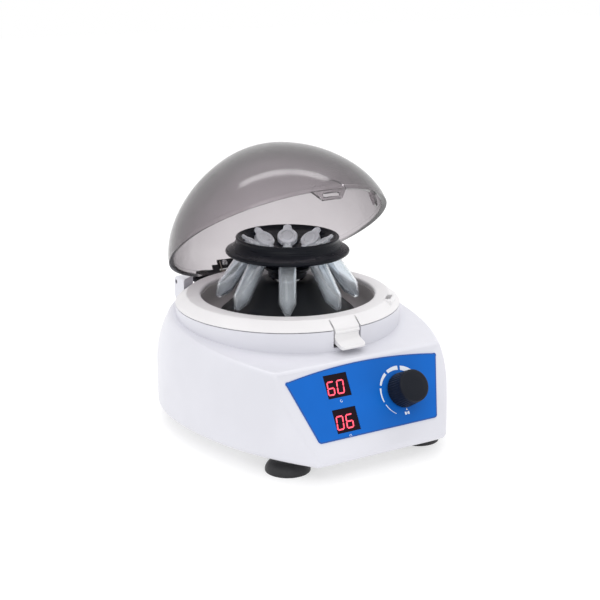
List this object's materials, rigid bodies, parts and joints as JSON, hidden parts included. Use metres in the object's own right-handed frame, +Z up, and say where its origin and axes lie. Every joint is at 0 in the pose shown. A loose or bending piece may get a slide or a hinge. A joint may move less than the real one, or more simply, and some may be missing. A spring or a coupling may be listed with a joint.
{
  "type": "laboratory mini centrifuge",
  "caption": "Bench-top mini centrifuge: barrel-shaped white casing, smoked dome lid that swings up, angle rotor with sample tubes, sloping control panel, suction feet.",
  "frame": {"origin": "on the rotor's axis at desk level, under the feet", "axes": "+Z up along the rotor's axis; the control panel faces -Y; +X to the right of someone facing the panel"},
  "size_m": [0.16, 0.1887, 0.1673],
  "materials": {
    "casing": "moulded, satin gloss",
    "base_plastic": "moulded, matt",
    "ring_plastic": "moulded, satin gloss",
    "bowl_plastic": "moulded, satin",
    "dark_steel": "blackened",
    "smoked_clear": "smoke-tinted clear plastic, polished",
    "black_steel": "black coated",
    "screw_steel": "plated",
    "spring_steel": "spring wire",
    "rotor_metal": "black anodised, fine satin",
    "black_metal": "black, knurled rim",
    "steel": "turned",
    "motor_steel": "drawn, plated",
    "plated_steel": "zinc plated",
    "black_plastic": "moulded, fine texture",
    "panel_film": "printed film, satin",
    "display_red": "dark red window",
    "board_green": "solder mask",
    "knob_plastic": "soft-touch black",
    "rubber": "soft black rubber",
    "tube_clear": "clear plastic, moulded"
  },
  "bodies": {
    "base": {"upper_housing": "casing", "base_plate": "base_plastic", "seat_ring": "ring_plastic", "rotor_bowl": "bowl_plastic", "hinge_pin": "dark_steel", "interlock_sensor": "black_plastic", "motor_can": "motor_steel", "motor_end_cap": "black_plastic", "motor_bracket": "plated_steel", "motor_screws": "screw_steel", "motor_dampers": "rubber", "damper_screws": "screw_steel", "motor_cone_cover": "black_plastic", "panel_overlay": "panel_film", "speed_display": "display_red", "time_display": "display_red", "display_board": "board_green", "display_board_posts": "base_plastic", "display_board_screws": "screw_steel", "encoder_body": "plated_steel", "encoder_nut": "plated_steel", "control_board": "board_green", "board_standoffs": "base_plastic", "board_screws": "screw_steel", "board_parts": "black_plastic", "transformer": "motor_steel", "power_inlet": "black_plastic", "rocker_frame": "black_plastic", "foot_screws": "screw_steel", "base_screws": "screw_steel", "foot_front_left": "rubber", "foot_front_right": "rubber", "foot_rear_left": "rubber", "foot_rear_right": "rubber"},
    "lid": {"lid_dome": "smoked_clear", "lid_hinge_leaf": "black_steel", "lid_hinge_screws": "screw_steel", "lid_spring": "spring_steel", "interlock_tongue": "casing"},
    "latch": {"latch_finger": "ring_plastic"},
    "spindle": {"spindle": "steel", "motor_shaft": "steel"},
    "rotor": {"rotor": "rotor_metal"},
    "nut": {"rotor_nut": "black_metal"},
    "encoder_rotor": {"encoder_rotor": "black_plastic"},
    "knob": {"control_knob": "knob_plastic", "encoder_shaft": "steel"},
    "rocker": {"power_rocker": "black_plastic"},
    "tube_1": {"sample_tube_1": "tube_clear"},
    "tube_2": {"sample_tube_2": "tube_clear"},
    "tube_3": {"sample_tube_3": "tube_clear"},
    "tube_4": {"sample_tube_4": "tube_clear"},
    "tube_5": {"sample_tube_5": "tube_clear"},
    "tube_6": {"sample_tube_6": "tube_clear"},
    "tube_7": {"sample_tube_7": "tube_clear"},
    "tube_8": {"sample_tube_8": "tube_clear"}
  },
  "joints": [
    {"name": "lid_hinge", "type": "hinge", "parent": "base", "child": "lid", "pos_m": [0, 0.065, 0.0746], "axis": [-1, 0, 0], "range_deg": [-33.5, 41.5]},
    {"name": "latch_flex", "type": "hinge", "parent": "base", "child": "latch", "pos_m": [0, -0.0615, 0.0749], "axis": [1, 0, 0], "range_deg": [0, 8], "stiffness_Nm_per_rad": 0.8},
    {"name": "rotor_spin", "type": "hinge", "parent": "base", "child": "spindle", "pos_m": [0, 0, 0.0806], "axis": [0, 0, 1], "continuous": true},
    {"name": "rotor_lift", "type": "slide", "parent": "spindle", "child": "rotor", "axis": [0, 0, 1], "range_m": [0, 0.03]},
    {"name": "nut_turn", "type": "hinge", "parent": "rotor", "child": "nut", "pos_m": [0, 0, 0.0965], "axis": [0, 0, 1], "continuous": true},
    {"name": "knob_turn", "type": "hinge", "parent": "base", "child": "encoder_rotor", "pos_m": [0.0208, -0.09197, 0.03915], "axis": [0, -0.866, 0.5], "continuous": true},
    {"name": "knob_press", "type": "slide", "parent": "encoder_rotor", "child": "knob", "axis": [0, 0.866, -0.5], "range_m": [0, 0.0005], "stiffness_N_per_m": 2000},
    {"name": "power_switch", "type": "hinge", "parent": "base", "child": "rocker", "pos_m": [0.017, 0.0734, 0.0275], "axis": [0, 0, 1], "range_deg": [-18, 0]},
    {"name": "tube_1_lift", "type": "slide", "parent": "rotor", "child": "tube_1", "axis": [0.2868, 0.4967, 0.8192], "range_m": [0, 0.01]},
    {"name": "tube_2_lift", "type": "slide", "parent": "rotor", "child": "tube_2", "axis": [0.1485, -0.554, -0.8192], "range_m": [-0.01, 0]},
    {"name": "tube_3_lift", "type": "slide", "parent": "rotor", "child": "tube_3", "axis": [-0.4967, 0.2868, 0.8192], "range_m": [0, 0.01]},
    {"name": "tube_4_lift", "type": "slide", "parent": "rotor", "child": "tube_4", "axis": [0.554, 0.1485, -0.8192], "range_m": [-0.01, 0]},
    {"name": "tube_5_lift", "type": "slide", "parent": "rotor", "child": "tube_5", "axis": [-0.2868, -0.4967, 0.8192], "range_m": [0, 0.01]},
    {"name": "tube_6_lift", "type": "slide", "parent": "rotor", "child": "tube_6", "axis": [-0.1485, 0.554, -0.8192], "range_m": [-0.01, 0]},
    {"name": "tube_7_lift", "type": "slide", "parent": "rotor", "child": "tube_7", "axis": [0.4967, -0.2868, 0.8192], "range_m": [0, 0.01]},
    {"name": "tube_8_lift", "type": "slide", "parent": "rotor", "child": "tube_8", "axis": [-0.554, -0.1485, -0.8192], "range_m": [-0.01, 0]}
  ]
}
